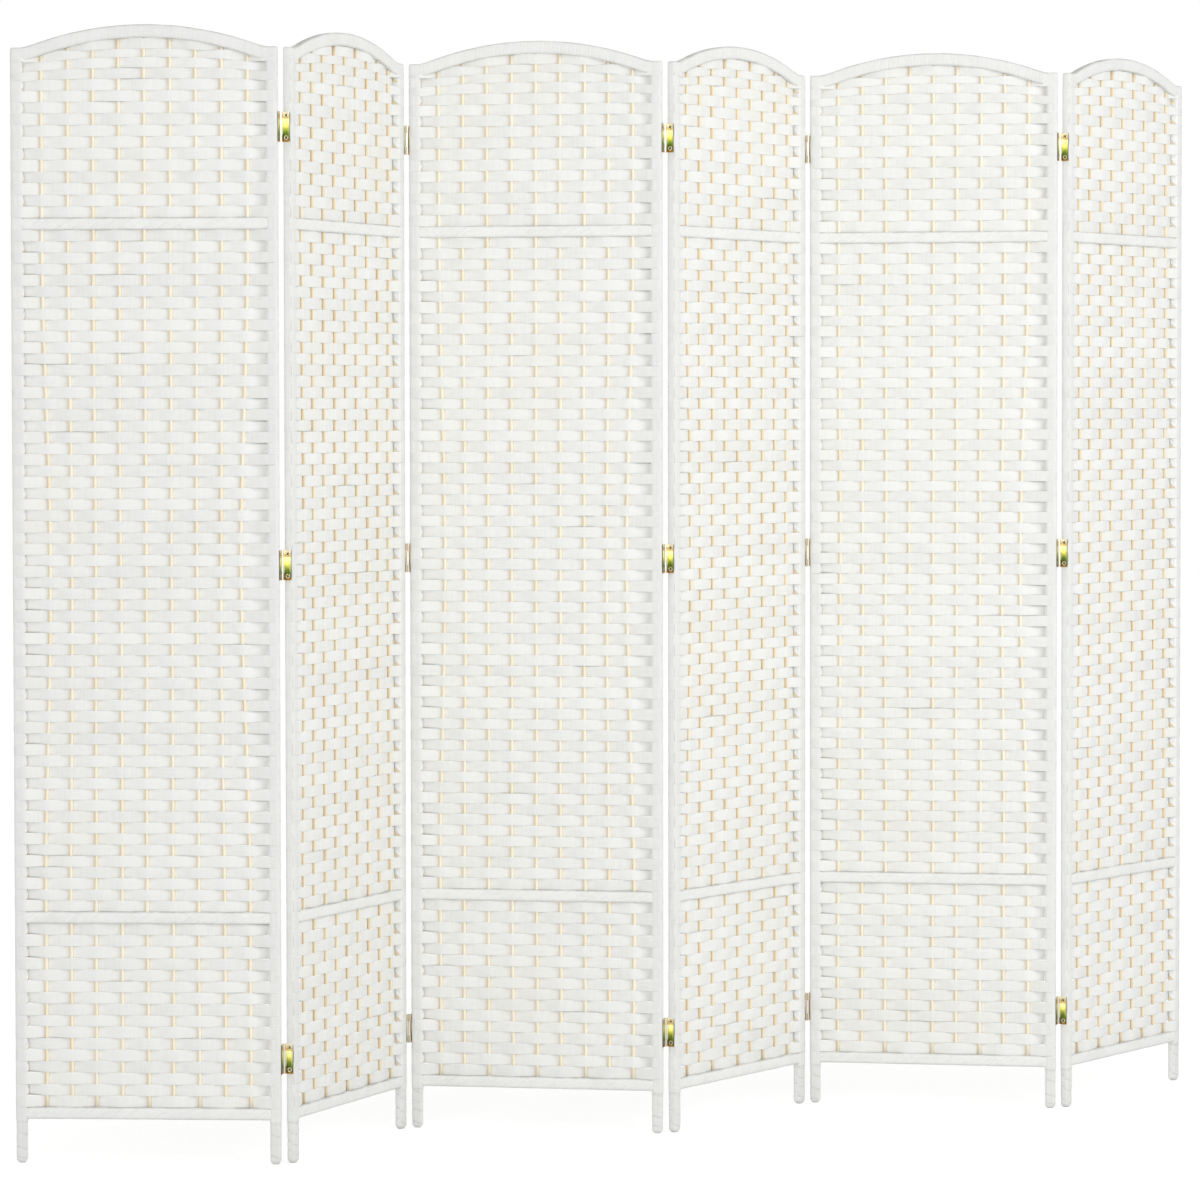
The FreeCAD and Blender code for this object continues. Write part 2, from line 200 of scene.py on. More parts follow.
screen = {
    "postWidth": 0.018,
    "postDepth": 0.015,
    "railDepth": 0.012,
    "topRailHeight": 0.020,
    "archDrop": 0.001,        # ends of the arch below the tops of the posts
    "rowsIntoArch": 0.0085,   # how far the woven rows run up into the arch
    "stickMargin": 0.0284,    # inner face of a post to the first stick
    "stickSize": 0.0056,
    "stickFlatness": 0.84,    # depth of a split stick against its width
    "stickCount": 9,
    "bowFade": 4.0,           # how soon the bow of the outer sticks fades towards the middle
}
screen["width"] = (footPlace(1, "right") - footPlace(1, "left")).length + screen["postWidth"]
innerWidth = screen["width"] - 2 * screen["postWidth"]
archRise = crown - (postTop - screen["archDrop"])
screen["archRadius"] = (innerWidth ** 2 / 4 + archRise ** 2) / (2 * archRise)
screen["archCentre"] = crown - screen["archRadius"]
screen["firstStick"] = screen["postWidth"] + screen["stickMargin"]
screen["middleStick"] = (screen["stickCount"] - 1) / 2
screen["stickPitch"] = (screen["width"] - 2 * screen["firstStick"]) / (screen["stickCount"] - 1)

# where each stretch of woven rows starts and ends, and how many rows it has
rowSections = {
    "bottom": (bottomRailTop, lowerRailLow, 16),
    "middle": (lowerRailTop, upperRailLow, 61),
    "top": (upperRailTop, crown - screen["topRailHeight"] + screen["rowsIntoArch"], 16),
}
screen["bowLow"], screen["bowHigh"] = rowSections["middle"][:2]

# how far the outer sticks bow inwards between the cross rails, panel by panel
leftBows = (0.0100, 0.0080, 0.0085, 0.0120, 0.0030, 0.0060)
rightBows = (0.0110, 0.0020, 0.0110, 0.0050, 0.0130, 0.0010)


def panelOrigin(panel):
    # left front corner of a panel on the floor, and its turn about Z
    left = footPlace(panel, "left")
    along = footPlace(panel, "right") - left
    turn = math.atan2(along.y, along.x)
    halfPost = Vector((screen["postWidth"] / 2, screen["postDepth"] / 2, 0))
    return left - Matrix.Rotation(turn, 3, "Z") @ halfPost, turn


# geometry trees, which work in a panel's own frame: X along it, Y to its back

def treeSizes(panel, material, *tables):
    # a tree's inputs: the screen's sizes, the panel's place and the piece's own sizes
    origin, turn = panelOrigin(panel)
    sizes = dict(screen, origin=tuple(origin), turn=turn, seed=panel,
                 leftBow=leftBows[panel - 1], rightBow=rightBows[panel - 1],
                 material=materials[material])
    for table in tables:
        sizes.update(table)
    return sizes


def newTree(name, sizes):
    # a geometry tree with one named input for each size
    tree = bpy.data.node_groups.new(name, "GeometryNodeTree")
    kinds = {int: "NodeSocketInt", float: "NodeSocketFloat", tuple: "NodeSocketVector"}
    for label, value in sizes.items():
        kind = kinds.get(type(value), "NodeSocketMaterial")
        tree.interface.new_socket(label, in_out="INPUT", socket_type=kind)
    tree.interface.new_socket("Geometry", in_out="OUTPUT", socket_type="NodeSocketGeometry")
    make = Maker(tree)
    entry = make.add("NodeGroupInput")
    return make, SimpleNamespace(**{label: entry.output(label) for label in sizes})


def finishTree(make, size, geometry, across, deep, up):
    # moves the points to their place in the panel, which they keep, and the panel into the row
    shaped = make.add("GeometryNodeSetPosition", None,
                      {"Geometry": geometry, "Position": make.vector(across, deep, up)})
    marked = keep(make, shaped, "FLOAT_VECTOR", panelPlace=make.add("GeometryNodeInputPosition"))
    marked = keep(make, marked, panelNumber=size.seed)
    turned = make.add("GeometryNodeTransform", None,
                      {"Geometry": marked, "Translation": size.origin,
                       "Rotation": make.vector(0.0, 0.0, size.turn)})
    plain = make.add("GeometryNodeRealizeInstances", None, {"Geometry": turned})
    soft = make.add("GeometryNodeSetShadeSmooth", None, {"Geometry": plain})
    dressed = make.add("GeometryNodeSetMaterial", None,
                       {"Geometry": soft, "Material": size.material})
    make.add("NodeGroupOutput", None, {"Geometry": dressed})
    return make.tree


def pointsWith(make, count, **values):
    # loose points, which the copies stand on and which hand them their values
    return keep(make, make.add("GeometryNodePoints", None, {"Count": count}), **values)


def keep(make, geometry, kind="FLOAT", **values):
    # stores each value on the points under its name
    for name, value in values.items():
        geometry = make.add("GeometryNodeStoreNamedAttribute",
                            {"data_type": kind, "domain": "POINT"},
                            {"Geometry": geometry, "Name": name, "Value": value})
    return geometry


def kept(make, name):
    return make.add("GeometryNodeInputNamedAttribute", {"data_type": "FLOAT"}, {"Name": name})


def randomValue(make, size, low, high, number):
    return make.add("FunctionNodeRandomValue", {"data_type": "FLOAT"},
                    {2: low, 3: high, 7: number, 8: size.seed}, out=1)


def closedTube(make, size):
    # a tube of radius 1 and length 1, which the trees draw out to their shapes
    return make.add("GeometryNodeMeshCylinder", {"fill_type": "NGON"},
                    {"Vertices": size.sides, "Side Segments": size.steps,
                     "Radius": 1.0, "Depth": 1.0})


def copiesOn(make, points, shape):
    # a copy of a shape on every point of a list of point sets
    joined = make.add("GeometryNodeJoinGeometry", None, {"Geometry": points})
    placed = make.add("GeometryNodeInstanceOnPoints", None, {"Points": joined, "Instance": shape})
    return make.add("GeometryNodeRealizeInstances", None, {"Geometry": placed})


def pointPlace(make):
    return make.split(make.add("GeometryNodeInputPosition"))


def archedUnderside(across, size):
    # height of the arched rail's inner curve at a place across the panel
    half = size.width / 2
    aside = abs(across - half).math("MINIMUM", half - size.postWidth)
    inner = size.archRadius - size.topRailHeight
    return size.archCentre + (inner * inner - aside * aside).math("SQRT")


def bowOf(size, up, onLeft):
    # the bow of the outermost stick at a height
    share = ((up - size.bowLow) / (size.bowHigh - size.bowLow)).within(0.0, 1.0)
    most = size.rightBow + onLeft * (size.leftBow - size.rightBow)
    return most * (share * math.pi).math("SINE") ** 2.0


def squareSection(size, first, second):
    # how far a circle is pushed out to a square with rounded corners, and the turn round it
    total = abs(first) ** size.squareness + abs(second) ** size.squareness
    return total ** (-1.0 / size.squareness), second.math("ARCTAN2", first) / math.tau


trees = {}      # each is built with the first piece that grows from it


def growPiece(name, plan, sizes, slot, *nodes):
    # runs a tree on an empty piece and keeps the result as a plain mesh
    if plan not in trees:
        trees[plan] = plan(sizes)
    tree = trees[plan]
    holder = bpy.data.objects.new(name, bpy.data.meshes.new(name))
    scene.collection.objects.link(holder)
    modifier = holder.modifiers.new("grow", "NODES")
    modifier.node_group = tree
    for item in tree.interface.items_tree:
        if item.in_out == "INPUT":
            modifier[item.identifier] = sizes[item.name]
    graph = bpy.context.evaluated_depsgraph_get()
    mesh = bpy.data.meshes.new_from_object(holder.evaluated_get(graph), depsgraph=graph,
                                           preserve_all_data_layers=True)
    holder.modifiers.clear()
    empty = holder.data
    holder.data = mesh
    bpy.data.meshes.remove(empty)
    mesh.name = name
    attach(holder, "panel_%d" % sizes["seed"])
    if nodes:
        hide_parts(*nodes)


# materials

materials = {}


def newMaterial(name):
    material = bpy.data.materials.new(name)
    material.use_nodes = True
    material.node_tree.nodes.clear()
    materials[name] = material
    return Maker(material.node_tree)


def finishMaterial(make, base, roughness, height, strength, reach, metallic=0.0):
    # one shader, with a bump where the surface has relief
    bump = make.add("ShaderNodeBump", None,
                    {"Height": height, "Strength": strength, "Distance": reach})
    shader = make.add("ShaderNodeBsdfPrincipled", None,
                      {"Base Color": base, "Roughness": roughness, "Metallic": metallic,
                       "Normal": bump})
    make.add("ShaderNodeOutputMaterial", None, {"Surface": shader})


def ownPlace(make, slant=0.0):
    # the place for streaks: turned across the piece and different in each panel
    along, deep, up = make.split(make.mark("panelPlace", "Vector"))
    cosine, sine = math.cos(slant), math.sin(slant)
    return make.vector(along * cosine + up * sine, deep + make.mark("panelNumber") * 0.7,
                       up * cosine - along * sine)


paper = {
    "light": colour(242, 243, 240),
    "shade": colour(233, 234, 231),
    "warm": colour(240, 237, 228),
    # painted shade of the lines between rows, in the winding's overlaps and along dark edges
    "line": colour(192, 190, 186),
    "grey": colour(221, 222, 219),
    # painted shade of gaps and slits between rows
    "gap": colour(166, 165, 160),
    # near white, laid on only as painted light and painted highlights
    "fold": colour(252, 252, 251),
    "roughness": 0.9,
    "relief": 0.5,
    "fibres": 900.0,    # waves per metre
    "mottle": 22.0,
}
weave = {
    "ribs": (420.0, 60.0, 26.0),
    "cords": (20.0, 60.0, 620.0),
    "ownTone": 0.45,    # how much one band differs from the next
    "warmth": 0.35,
    "hollow": 0.7,      # painted light: how much lighter a band is where it passes behind a stick or the post, against its shade
    "paintedEdgeLight": 0.4,    # painted light along its two edges
    "paintedRowShade": 0.14,   # with a broken line of painted shade between them
    # painted shade where a few rows seem to stand apart
    "paintedApartShade": 0.8,
    "paintedSlitShade": 0.75,       # painted shade of the slits beside a post
    "paintedSlitShadeLeast": 0.1,
}


def layered(make, base, *layers):
    # lays the paper's colours over a base, each by its share
    for share, tone in layers:
        base = make.blend(share, base, paper[tone])
    return base


def streakyPaper(make, place, look):
    # light and relief of paper fabric: ribs across it and finer cords along it
    ribTone = make.grain(place, look["ribs"]) - 0.5
    cordTone = make.grain(place, look["cords"]) - 0.5
    fibre = make.noise(place, paper["fibres"]) - 0.5
    mottle = make.noise(place, paper["mottle"], 3.0) - 0.5
    light = ribTone * 1.0 + cordTone * 0.7 + fibre * 0.35 + mottle * 0.9
    return light, ribTone * 0.9 + cordTone * 0.6 + fibre * 0.3


def bandPaper():
    # woven strips of twisted paper, ribbed across their length
    make = newMaterial("wovenPaper")
    place = ownPlace(make)
    light, relief = streakyPaper(make, place, weave)
    tone = (make.mark("bandTone") - 0.5) * weave["ownTone"]
    warmth = make.smooth(make.noise(place, 7.0), 0.52, 0.75)
    edge = make.mark("bandEdge")
    broken = make.smooth(make.noise(place, 38.0), 0.38, 0.62)
    # painted shade of a dark gap where a few rows seem to stand apart for a short way
    paintedApartShade = make.smooth(make.grain(place, (9.0, 0.5, 46.0), 0.0), 0.74, 0.8)
    # painted shade beside a post: a dark slit below the rows on the left, above them on the right
    rowPlace = make.mark("rowPlace")
    onLeft = make.split(place)[0] < screen["width"] / 2
    below = make.smooth(rowPlace, 0.68, 0.86) * onLeft
    above = make.smooth(-rowPlace, 0.68, 0.86) * (1.0 - onLeft)
    uneven = make.smooth(make.noise(place, 9.0, 1.0), 0.5, 0.62)
    paintedSlitShade = (below + above) * make.mark("pocketShade")
    base = layered(
        make, paper["shade"],
        (make.smooth(light + tone + 0.62, 0.0, 1.0), "light"),
        (warmth * weave["warmth"], "warm"),
        (make.mark("hollow") * weave["hollow"], "fold"),
        (edge * weave["paintedEdgeLight"], "fold"),
        (edge * broken * weave["paintedRowShade"], "line"),
        (make.mark("wrapShade"), "grey"),
        (edge * paintedApartShade * weave["paintedApartShade"], "gap"),
        (paintedSlitShade * (uneven * weave["paintedSlitShade"] + weave["paintedSlitShadeLeast"]), "gap"),
        (make.mark("foldShine"), "fold"))
    finishMaterial(make, base, paper["roughness"], relief, paper["relief"], 0.00025)


# streaks of the winding, in waves per metre, and its strips on the rails
wraps = {
    "postWrap": {"slant": 0.06, "ribs": (330.0, 330.0, 9.0), "cords": (40.0, 40.0, 260.0)},
    "railWrap": {"slant": 0.55, "ribs": (60.0, 300.0, 520.0), "cords": (200.0, 40.0, 90.0),
                 "stripPitch": 0.022, "stripLean": 1.5},
    "archWrap": {"slant": 0.0, "ribs": (420.0, 200.0, 50.0), "cords": (24.0, 60.0, 560.0),
                 "stripPitch": 0.0125, "stripLean": 0.15},
}
stripLip = 0.07                # half the width of a strip's raised edge, of its pitch

pockets = {
    "faceReach": 0.0012,       # how near to a post's inner face its bare wood may show
    "woodStart": 0.2,          # of the post's depth, where the slanting fold begins
    "woodRise": 0.66,          # of a row's height, where it ends at the back
    "woodBow": 1.35,
    "light": 0.6,              # painted light: how far the paper of those faces is brought towards white against their shade
    "dark": colour(246, 214, 166),
    "pale": colour(255, 243, 210),
}


def stripEdges(make, look):
    # the raised edge of each strip of the winding, and the shaded line beside it
    place = ownPlace(make)
    along, deep, up = make.split(place)
    drift = make.grain(place, (9.0, 0.5, 1.0), 1.0) * 1.6
    phase = ((along - up * look["stripLean"]) / look["stripPitch"] + drift).math("FRACT")
    some = make.smooth(make.grain(place, (13.0, 0.5, 8.0), 0.0), 0.36, 0.6)
    lip = make.smooth(abs(phase - 0.5), stripLip, 0.0)
    crease = make.smooth(abs(phase - 0.5 - stripLip * 1.4), stripLip, 0.0)
    return lip * some, crease * some


def woodBehind(make):
    # the posts' faces that look at the weave, and the bare wood on them: where the rows pass
    # behind a post, its inner face is bare below a slanting fold
    along, deep, up = make.split(make.mark("panelPlace", "Vector"))
    near = abs(along - screen["postWidth"])
    far = abs(along - (screen["width"] - screen["postWidth"]))
    facing = near.math("MINIMUM", far) < pockets["faceReach"]
    total = 0.0
    for low, high, rows in rowSections.values():
        row = (up - low) * (rows / (high - low))
        number = row.math("FLOOR")
        behind = number.math("MODULO", 2.0) * (row > 0.0) * (row < rows)
        reach = (deep / screen["postDepth"] - pockets["woodStart"]).math("MAXIMUM", 0.0)
        reach = reach / (1.0 - pockets["woodStart"])
        slope = (reach ** pockets["woodBow"]) * pockets["woodRise"]
        change = make.noise(make.vector(number, along * 9.0, 0.5), 1.7, 0.0) - 0.5
        bare = make.smooth(slope + change * 0.4 - row.math("FRACT"), 0.0, 0.08)
        total = total + bare * behind
    return facing, total * facing


def wrapPaper(name):
    # paper wound round the timber: slanting streaks, a shaded line at each overlap
    look = wraps[name]
    make = newMaterial(name)
    place = ownPlace(make, look["slant"])
    light, relief = streakyPaper(make, place, look)
    seam = make.mark("wrapSeam")
    base = layered(make, paper["shade"],
                   (make.smooth(light * 1.6 + 0.62, 0.0, 1.0), "light"),
                   (make.mark("wrapShade"), "grey"))
    if "stripPitch" in look:
        lip, crease = stripEdges(make, look)
        # painted highlight along each strip's raised edge, which also has a bump, and painted shade
        # in the crease beside it
        base = layered(make, base, (lip * 0.6, "fold"))
        seam = seam.math("MAXIMUM", crease * 0.55)
        relief = relief + lip * 0.5
    broken = make.smooth(make.noise(place, 34.0), 0.35, 0.6)
    # painted shade in the winding's overlaps, and along its dark edges
    base = layered(make, base,
                   (seam * (broken * 0.4 + 0.15), "line"),
                   (make.mark("darkEdge") * (broken * 0.55 + 0.4), "line"))
    if name == "postWrap":
        facing, bare = woodBehind(make)
        # painted light on the post's faces that look at the weave
        base = layered(make, base, (facing * pockets["light"], "fold"))
        wood = make.blend(make.noise(place, 260.0, 3.0), pockets["dark"], pockets["pale"])
        base = make.blend(bare, base, wood)
    finishMaterial(make, base, paper["roughness"], relief - seam * 0.8, paper["relief"], 0.0003)


def stickWood():
    # split bamboo: pale, with straight fibres and painted shade down its left side
    make = newMaterial("bareStick")
    place = make.mark("panelPlace", "Vector")
    fibres = make.grain(place, (700.0, 700.0, 16.0), 3.0)
    patches = make.grain(place, (30.0, 30.0, 9.0))
    tone = fibres * 0.5 + patches * 0.5 - make.mark("rind") * 0.3
    base = make.ramp(tone, (0.12, (232, 208, 168)), (0.36, (251, 237, 205)),
                     (0.6, (254, 247, 228)))
    finishMaterial(make, base, 0.6, fibres, 0.3, 0.0002)


bandPaper()
for wrapName in wraps:
    wrapPaper(wrapName)
stickWood()
print("papers and wood made")

# woven bands

bands = {
    "thickness": 0.0009,
    "overlap": 0.0001,      # each edge tucks this far under its neighbour
    "edgeJitter": 0.0004,
    "edgeWander": 0.0011,
    "ripple": 0.0006,       # how unevenly a band lies from front to back
    "sides": 12,            # points round a band
    "steps": 64,            # along a band
    "flatness": 0.25,       # a low power squares off its round section
    "fullness": 0.5,
    "endMargin": 0.0006,
    "endReach": 0.0035,     # over which its end sinks towards the panel's middle plane
    "endSink": 0.0013,
    "archSoftness": 0.080,  # over which rows close up under the arch
    "archLift": 0.006,
    "archTuck": 0.006,      # rows that end above the arch hide this far inside it
    "postHold": 0.0069,     # middle of a band over a post, from the panel's middle plane
    "crest": 0.95,          # how sharply a band turns over a stick
    "postFade": 0.004,      # over which its tone turns to the post's
    "toneOverPost": 0.4,    # as grey there as the wrap of the post
}


def bandSizes(panel):
    wave = screen["stickSize"] * screen["stickFlatness"] / 2 + bands["thickness"] / 2
    sizes = treeSizes(panel, "wovenPaper", bands, {"wave": wave})
    for section, (low, high, rows) in rowSections.items():
        sizes.update({section + "Low": low, section + "High": high, section + "Rows": rows})
    return sizes


def rowPoints(make, size, section):
    # one point for each row, which keeps the row's two edges, its side and its tone
    low, high, count = [getattr(size, section + end) for end in ("Low", "High", "Rows")]
    pitch = (high - low) / count
    number = make.add("GeometryNodeInputIndex")

    def edge(place):
        jitter = randomValue(make, size, -size.edgeJitter, size.edgeJitter, place)
        inside = (place > 0.5) * (place < count - 0.5)
        return low + pitch * place + jitter * inside

    return pointsWith(make, count,
                      edgeLow=edge(number + 0.0),
                      edgeHigh=edge(number + 1.0),
                      side=1.0 - number.math("MODULO", 2.0) * 2.0,
                      bandTone=randomValue(make, size, 0.0, 1.0, number + 500.0))


def bandTree(sizes):
    make, size = newTree("wovenBands", sizes)
    rows = [rowPoints(make, size, section) for section in rowSections]
    solid = copiesOn(make, rows, closedTube(make, size))
    acrossBand, throughBand, alongBand = pointPlace(make)
    along = size.endMargin + (alongBand + 0.5) * (size.width - size.endMargin * 2.0)
    aside = along.math("MINIMUM", size.width - along)

    # flat on both faces, soft only at the two edges
    flat = acrossBand.signedPower(size.flatness)
    thick = throughBand.signedPower(size.fullness)

    # the wave: over one stick and under the next, and straight from the post to the first
    low, high = kept(make, "edgeLow"), kept(make, "edgeHigh")
    bow = bowOf(size, (low + high) / 2, along < size.width / 2)
    straight = (aside - size.firstStick) / size.stickPitch
    counted = straight
    for _ in range(3):      # each round comes nearer to the bowed sticks' places
        inward = (1.0 - counted.math("MAXIMUM", 0.0) / size.middleStick) ** size.bowFade
        counted = straight - inward * bow / size.stickPitch
    phase = counted.math("MAXIMUM", 0.0) * math.pi
    crest = (phase.math("COSINE") * size.crest).math("ARCSINE")
    wave = crest / size.crest.math("ARCSINE") * size.wave
    climb = (aside - size.postWidth) / (size.firstStick + bow - size.postWidth)
    climb = climb.within(0.0, 1.0)
    wave = wave - (size.wave + size.postHold) * (1.0 - climb)
    wave = wave + (1.0 - make.smooth(aside, 0.0, size.endReach)) * size.endSink
    side = kept(make, "side")
    ripple = make.noise(make.vector(along, low * 7.0, size.seed), 40.0) - 0.5
    deep = side * wave + thick * (size.thickness / 2) + ripple * size.ripple * climb

    # the height: neighbours share the wander of the edge between them
    def edge(height):
        wander = make.noise(make.vector(along, height * 40.0, size.seed), 11.0)
        return height + (wander - 0.5) * size.edgeWander

    lowEdge = edge(low) - size.overlap
    highEdge = edge(high) + size.overlap
    up = (lowEdge + highEdge) / 2 - flat * (highEdge - lowEdge) / 2

    # rows close up under the arch and end inside it
    roof = archedUnderside(along, size)
    tucked = up.math("SMOOTH_MIN", roof + size.archLift, size.archSoftness)
    beyond = ((up - roof).math("MAXIMUM", 0.0) * 0.6).math("MINIMUM", size.archTuck)

    overPost = 1.0 - make.smooth(aside, size.postWidth - size.postFade, size.postWidth)
    facing = side * throughBand > -0.1
    behind = -(throughBand * side * wave) / size.wave
    marked = keep(make, solid,
                  bandEdge=make.smooth(abs(flat), 0.93, 0.99),
                  rowPlace=flat,
                  wrapShade=overPost * size.toneOverPost,
                  pocketShade=facing * (1.0 - climb) ** 0.7,
                  # painted light where a band passes behind a stick or the post
                  hollow=make.smooth(behind, 0.0, 1.6) * climb + facing * (1.0 - climb))
    return finishTree(make, size, marked, along, deep + size.postDepth / 2, tucked + beyond)


for panel in panels:
    growPiece("wovenPaper_%d" % panel, bandTree, bandSizes(panel), "woven_paper",
              "woven_bands_%d" % panel)
print("bands woven")

# curls of paper across the pockets, where rows pass behind the posts

curls = {
    "sides": 8,
    "steps": 9,
    "thick": 0.0011,      # half of it stands out from the post's inner face
    "wide": 0.0026,
    "proud": 0.0002,
    "front": 0.0020,
    "span": 0.0112,
    "footRise": 0.0018,
    "rise": 0.0118,
    "unevenness": 0.004,
    "bow": 1.35,
    "twist": 0.35,        # how far its width leans into its length
}


def curlSizes(panel, side):
    onRight = side == "right"
    face = screen["width"] - screen["postWidth"] if onRight else screen["postWidth"]
    sizes = treeSizes(panel, "wovenPaper", curls,
                      {"faceAcross": face, "outward": -1.0 if onRight else 1.0})
    for section, (low, high, rows) in rowSections.items():
        # every second row, without the last one under the arch
        sizes.update({section + "Low": low, section + "Pitch": (high - low) / rows,
                      section + "Count": rows // 2 - (section == "top")})
    return sizes


def curlPoints(make, size, section):
    # a point at the foot of each row that passes behind the post
    low, pitch, count = [getattr(size, section + end) for end in ("Low", "Pitch", "Count")]
    number = make.add("GeometryNodeInputIndex")
    return pointsWith(make, count,
                      foot=low + (number * 2.0 + 1.0) * pitch,
                      # painted highlight on each curl, of a strength of its own
                      foldShine=randomValue(make, size, 0.4, 1.0, number + 40.0))


def curlTree(sizes):
    make, size = newTree("paperCurls", sizes)
    rows = [curlPoints(make, size, section) for section in rowSections]
    solid = copiesOn(make, rows, closedTube(make, size))
    first, second, third = pointPlace(make)
    share = third + 0.5
    foot = kept(make, "foot")
    bulge = (share * math.pi).math("SINE") * 0.5 + 0.5
    change = make.noise(make.vector(foot * 90.0, size.faceAcross * 50.0, 0.0), 1.0, 0.0) - 0.5
    aside = second * size.outward * size.wide * bulge * size.twist
    across = size.faceAcross + size.outward * (first * size.thick * bulge + size.proud)
    deep = size.front + share * size.span + aside
    up = foot + size.footRise + (share ** size.bow) * (size.rise + change * size.unevenness)
    return finishTree(make, size, solid, across, deep, up - aside)


for panel, side in edges:
    growPiece("paperCurls_%d_%s" % (panel, side), curlTree, curlSizes(panel, side), "woven_paper")
print("curls laid")

# upright sticks

sticks = {
    "sides": 8,
    "steps": 70,
    "wander": 0.0044,       # how far a stick strays from its line over its length
    "fullness": 0.98,
    "uneven": 0.12,
    "roofGap": 0.0003,
}


def stickTree(sizes):
    make, size = newTree("bareSticks", sizes)
    points = pointsWith(make, size.stickCount, stickNumber=make.add("GeometryNodeInputIndex"))
    solid = copiesOn(make, [points], closedTube(make, size))
    acrossRod, throughRod, alongRod = pointPlace(make)
    number = kept(make, "stickNumber")
    straight = size.firstStick + number * size.stickPitch
    top = archedUnderside(straight, size) - size.roofGap
    up = size.low + (alongRod + 0.5) * (top - size.low)
    bend = make.noise(make.vector(number * 3.7, up, size.seed * 5.3), 2.6, 1.0) - 0.5
    thick = make.noise(make.vector(number * 1.9, up, size.seed * 2.1), 40.0, 1.0) - 0.5
    radius = size.stickSize / 2 * (size.fullness + thick * size.uneven)
    fromMiddle = (size.middleStick - number) / size.middleStick
    bow = fromMiddle.signedPower(size.bowFade) * bowOf(size, up, fromMiddle > 0.0)
    across = straight + bow + bend * size.wander + acrossRod * radius
    deep = size.postDepth / 2 + throughRod * radius * size.stickFlatness
    # painted shade down each stick's left side
    marked = keep(make, solid, rind=make.smooth(-acrossRod, 0.1, 0.8))
    return finishTree(make, size, marked, across, deep, up)


for panel in panels:
    sizes = treeSizes(panel, "bareStick", sticks, {"low": bottomRailTop})
    growPiece("bareSticks_%d" % panel, stickTree, sizes, "bare_stick", "sticks_%d" % panel)
print("sticks set")

# posts, wound with paper

posts = {
    "sides": 24,
    "steps": 300,
    "squareness": 7.0,       # of a post's rounded section
    "sideInset": 0.0003,     # the wrap within the post's width
    "coverInset": 0.0006,    # and behind the woven rows that pass over it
    "headRound": 0.0022,
    "headNarrow": 0.0016,    # how much less wide and deep the head is, each side
    "headThin": 0.0012,
    "footRound": 0.0055,
    "footNarrow": 0.0042,
    "footThin": 0.0034,
    "legWind": 0.0170,       # rise of the winding in one turn, on the legs
    "legLump": 0.00045,
    "legSlim": 0.00055,      # the leg under the fold that covers the bottom rail's joint
    "wobble": 0.0005,
    "collar": 0.004,         # middle of that fold below the bottom rail
    "endBunch": 0.72,        # how much closer the rings lie near the two ends
    "tone": 0.3,             # how much greyer the paper is than the lightest
    "sideShare": 0.8,        # painted light: how much less grey the faces between two posts are
    "legTone": 0.15,
}


def postTree(sizes):
    make, size = newTree("woundPost", sizes)
    tube = closedTube(make, size)
    acrossPart, throughPart, alongPart = pointPlace(make)
    share = alongPart + 0.5
    up = (share - (share * math.tau).math("SINE") * size.endBunch / math.tau) * size.top
    headEase = 1.0 - make.smooth(size.top - up, 0.0, size.headRound)
    footEase = (1.0 - (up / size.footRound).math("MINIMUM", 1.0)) ** 1.5
    push, angle = squareSection(size, acrossPart, throughPart)

    # the winding shows as slanting lumps on the leg and hardly above it
    slant = make.noise(make.vector(size.leftEdge * 11.0, size.seed, up * 26.0), 1.0, 1.0)
    wind = (up / size.legWind + angle * 0.8 + slant * 1.3).math("FRACT")
    lump = (wind * math.pi).math("SINE") ** 0.6
    onLeg = 1.0 - make.smooth(up, size.legTop - 0.0045, size.legTop - 0.003)
    wobble = make.noise(make.vector(size.leftEdge * 40.0 + size.seed, angle, up * 30.0), 1.6) - 0.5
    slack = (size.legLump * (1.0 - lump) + size.legSlim) * onLeg - wobble * size.wobble
    halfWidth = size.postWidth / 2 - slack - size.sideInset
    halfDepth = size.postDepth / 2 - slack - size.coverInset * (1.0 - onLeg * 0.6)
    halfWidth = halfWidth - headEase * size.headNarrow - footEase * size.footNarrow
    halfDepth = halfDepth - headEase * size.headThin - footEase * size.footThin
    across = size.leftEdge + size.postWidth / 2 + acrossPart * push * halfWidth
    deep = size.postDepth / 2 + throughPart * push * halfDepth
    # painted shade in the troughs between the winding's lumps and round the fold below the bottom
    # rail; the bump uses it too
    collar = make.smooth(abs(up - size.legTop + size.collar), 0.0016, 0.0)
    seam = make.smooth(1.0 - lump, 0.45, 0.95) * onLeg
    onSide = make.smooth(abs(acrossPart * push), 0.9, 0.99)
    marked = keep(make, tube,
                  wrapSeam=seam.math("MAXIMUM", collar),
                  # painted shade round the post's rounded head
                  darkEdge=headEase * 0.8,
                  wrapShade=onLeg * size.legTone + size.tone * (1.0 - onSide * size.sideShare))
    return finishTree(make, size, marked, across, deep, up)


for panel, side in edges:
    leftEdge = screen["width"] - screen["postWidth"] if side == "right" else 0.0
    sizes = treeSizes(panel, "postWrap", posts,
                      {"leftEdge": leftEdge, "top": postTop, "legTop": bottomRailLow})
    growPiece("woundPost_%d_%s" % (panel, side), postTree, sizes, "post_wrap",
              "%s_post_%d" % (side, panel))
print("posts wound")

# rails, wound with paper

